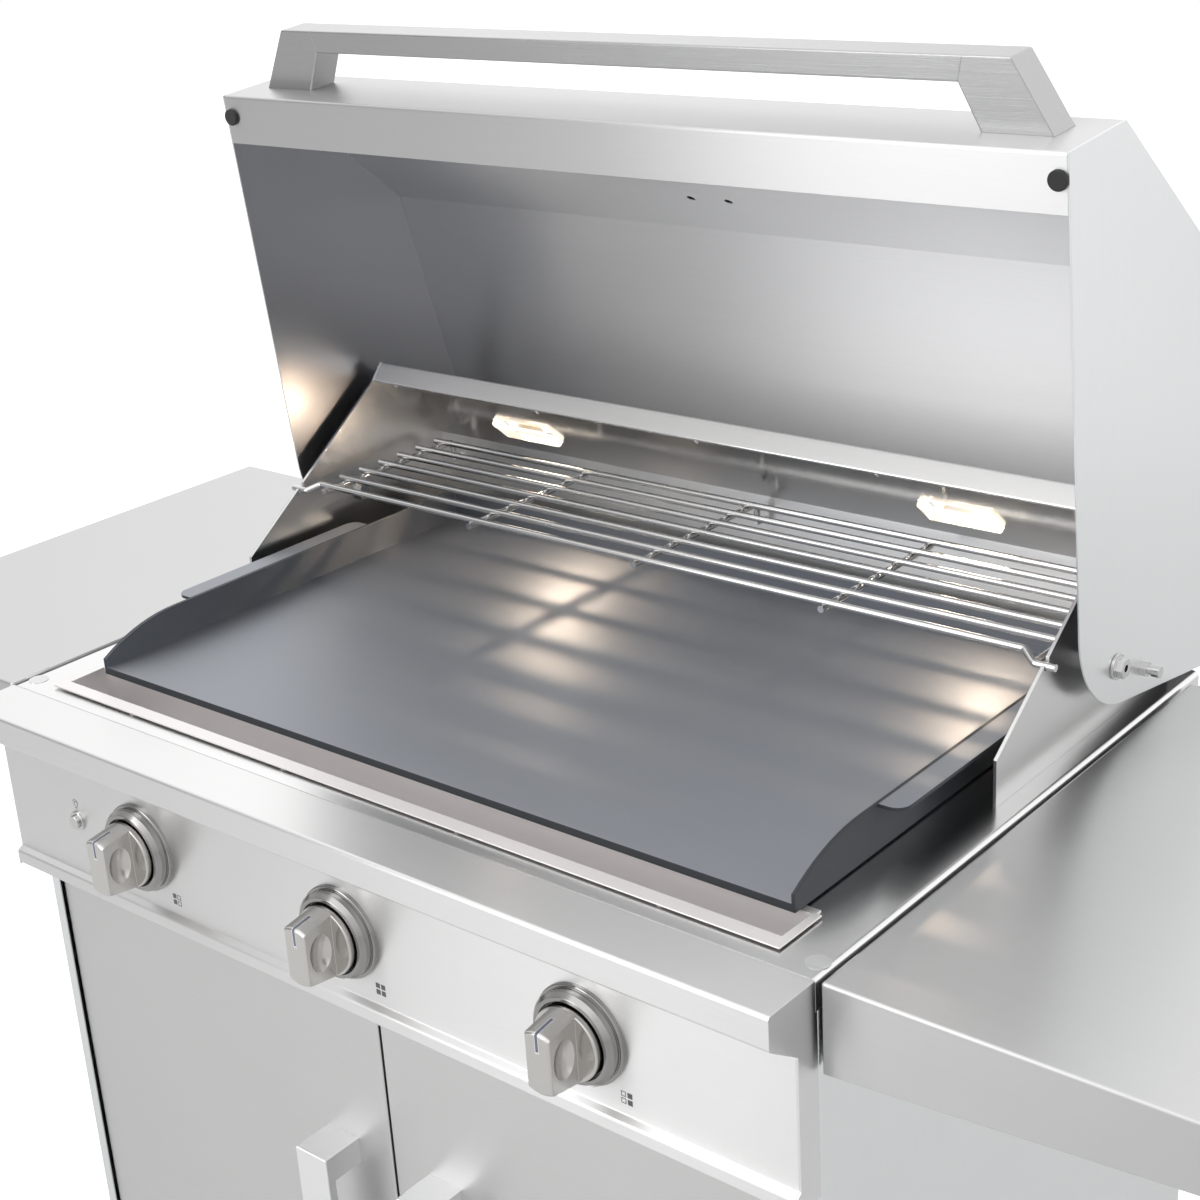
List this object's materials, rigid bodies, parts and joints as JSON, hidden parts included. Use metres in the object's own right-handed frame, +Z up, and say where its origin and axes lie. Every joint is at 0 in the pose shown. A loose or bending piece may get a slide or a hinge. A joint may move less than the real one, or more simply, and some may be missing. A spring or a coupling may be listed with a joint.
{
  "type": "induction griddle with cart",
  "caption": "Stainless griddle head with hinged hood, dark griddle plate, warming rack, lamps and control knobs, on a cart cabinet with doors, folding side shelves and swivel casters.",
  "frame": {"origin": "on the floor, under the middle of the whole object with its hood open", "axes": "+X to the right as seen by the cook, +Y to the back, +Z up"},
  "size_m": [1.5532, 0.775, 1.4791],
  "materials": {
    "stainless": "fine horizontal brushing",
    "inner_stainless": "bright brushed",
    "galvanised_sheet": "plain sheet",
    "frame_paint": "satin paint",
    "griddle_iron": "satin, seasoned",
    "polished_wire": "polished wire",
    "polished_steel": "polished",
    "handle_aluminium": "satin",
    "knob_nickel": "satin nickel plate",
    "bumper_rubber": "matte",
    "hob_glass": "black glass ceramic",
    "lamp_glass": "clear",
    "coil_copper": "wound copper",
    "carrier_plastic": "moulded",
    "board_laminate": "laminate",
    "sink_aluminium": "extruded",
    "fork_steel": "zinc plated",
    "wheel_rubber": "matte"
  },
  "bodies": {
    "cart": {"base_frame": "frame_paint", "cabinet_floor": "galvanised_sheet", "cabinet_left_side": "stainless", "cabinet_right_side": "stainless", "cabinet_back": "galvanised_sheet", "cabinet_rails": "galvanised_sheet", "caster_plates": "galvanised_sheet", "shelf_brackets": "galvanised_sheet", "door_hinges": "galvanised_sheet", "head_pan": "galvanised_sheet", "deck": "stainless", "front_nose": "stainless", "fascia": "stainless", "firebox_left_side": "stainless", "firebox_right_side": "stainless", "firebox_back": "stainless", "light_housing": "inner_stainless", "lamp_bulbs": "lamp_glass", "lamp_lenses": "lamp_glass", "griddle_plate": "griddle_iron", "hob_glass": "hob_glass", "grease_tray": "stainless", "induction_coils": "coil_copper", "coil_carriers": "carrier_plastic", "circuit_boards": "board_laminate", "heat_sinks": "sink_aluminium", "fan_housing": "carrier_plastic", "encoder_bodies": "carrier_plastic", "knob_bezels": "polished_steel", "button_housing": "polished_steel", "power_inlet": "carrier_plastic", "hood_pivots": "polished_steel", "warming_rack": "polished_wire"},
    "cooling_fan": {"fan_rotor": "carrier_plastic"},
    "hood": {"hood_skin": "stainless", "hood_left_side": "stainless", "hood_right_side": "stainless", "hood_liner": "inner_stainless", "hood_bumpers": "bumper_rubber", "hood_handle_bar": "handle_aluminium", "hood_handle_posts": "handle_aluminium", "hood_stop_studs": "polished_steel"},
    "left_control": {"left_knob": "knob_nickel"},
    "middle_control": {"middle_knob": "knob_nickel"},
    "right_control": {"right_knob": "knob_nickel"},
    "lamp_switch": {"light_button": "polished_steel"},
    "left_door_leaf": {"left_door": "stainless", "left_door_handle": "handle_aluminium"},
    "right_door_leaf": {"right_door": "stainless", "right_door_handle": "handle_aluminium"},
    "left_side_shelf": {"left_shelf": "stainless"},
    "right_side_shelf": {"right_shelf": "stainless"},
    "front_left_caster": {"front_left_fork": "fork_steel"},
    "front_left_roller": {"front_left_wheel": "wheel_rubber"},
    "front_right_caster": {"front_right_fork": "fork_steel"},
    "front_right_roller": {"front_right_wheel": "wheel_rubber"},
    "rear_left_caster": {"rear_left_fork": "fork_steel"},
    "rear_left_roller": {"rear_left_wheel": "wheel_rubber"},
    "rear_right_caster": {"rear_right_fork": "fork_steel"},
    "rear_right_roller": {"rear_right_wheel": "wheel_rubber"}
  },
  "joints": [
    {"name": "hood_hinge", "type": "hinge", "parent": "cart", "child": "hood", "pos_m": [0, 0.13174, 0.979], "axis": [1, 0, 0], "range_deg": [0, 84.1]},
    {"name": "left_knob_turn", "type": "hinge", "parent": "cart", "child": "left_control", "pos_m": [-0.26, -0.33746, 0.809], "axis": [0, 1, 0], "range_deg": [0, 270]},
    {"name": "middle_knob_turn", "type": "hinge", "parent": "cart", "child": "middle_control", "pos_m": [0, -0.33746, 0.809], "axis": [0, 1, 0], "range_deg": [0, 270]},
    {"name": "right_knob_turn", "type": "hinge", "parent": "cart", "child": "right_control", "pos_m": [0.26, -0.33746, 0.809], "axis": [0, 1, 0], "range_deg": [0, 270]},
    {"name": "lamp_button_press", "type": "slide", "parent": "cart", "child": "lamp_switch", "axis": [0, 1, 0], "range_m": [0, 0.003], "stiffness_N_per_m": 500, "springref_m": -0.002},
    {"name": "left_door_hinge", "type": "hinge", "parent": "cart", "child": "left_door_leaf", "pos_m": [-0.4341, -0.30496, 0.431], "axis": [0, 0, -1], "range_deg": [0, 110]},
    {"name": "right_door_hinge", "type": "hinge", "parent": "cart", "child": "right_door_leaf", "pos_m": [0.4341, -0.30496, 0.431], "axis": [0, 0, 1], "range_deg": [0, 110]},
    {"name": "left_shelf_fold", "type": "hinge", "parent": "cart", "child": "left_side_shelf", "pos_m": [-0.4812, -0.02526, 0.847], "axis": [0, -1, 0], "range_deg": [0, 90]},
    {"name": "right_shelf_fold", "type": "hinge", "parent": "cart", "child": "right_side_shelf", "pos_m": [0.4812, -0.02526, 0.847], "axis": [0, 1, 0], "range_deg": [0, 90]},
    {"name": "front_left_swivel", "type": "hinge", "parent": "cart", "child": "front_left_caster", "pos_m": [-0.4035, -0.25926, 0.102], "axis": [0, 0, 1], "continuous": true},
    {"name": "front_left_roll", "type": "hinge", "parent": "front_left_caster", "child": "front_left_roller", "pos_m": [-0.4035, -0.23526, 0.0375], "axis": [1, 0, 0], "continuous": true},
    {"name": "front_right_swivel", "type": "hinge", "parent": "cart", "child": "front_right_caster", "pos_m": [0.4035, -0.25926, 0.102], "axis": [0, 0, 1], "continuous": true},
    {"name": "front_right_roll", "type": "hinge", "parent": "front_right_caster", "child": "front_right_roller", "pos_m": [0.4035, -0.23526, 0.0375], "axis": [1, 0, 0], "continuous": true},
    {"name": "rear_left_swivel", "type": "hinge", "parent": "cart", "child": "rear_left_caster", "pos_m": [-0.4035, 0.26224, 0.102], "axis": [0, 0, 1], "continuous": true},
    {"name": "rear_left_roll", "type": "hinge", "parent": "rear_left_caster", "child": "rear_left_roller", "pos_m": [-0.4035, 0.28624, 0.0375], "axis": [1, 0, 0], "continuous": true},
    {"name": "rear_right_swivel", "type": "hinge", "parent": "cart", "child": "rear_right_caster", "pos_m": [0.4035, 0.26224, 0.102], "axis": [0, 0, 1], "continuous": true},
    {"name": "rear_right_roll", "type": "hinge", "parent": "rear_right_caster", "child": "rear_right_roller", "pos_m": [0.4035, 0.28624, 0.0375], "axis": [1, 0, 0], "continuous": true},
    {"name": "fan_spin", "type": "hinge", "parent": "cart", "child": "cooling_fan", "pos_m": [0, 0.25474, 0.8212], "axis": [0, 1, 0], "continuous": true}
  ]
}
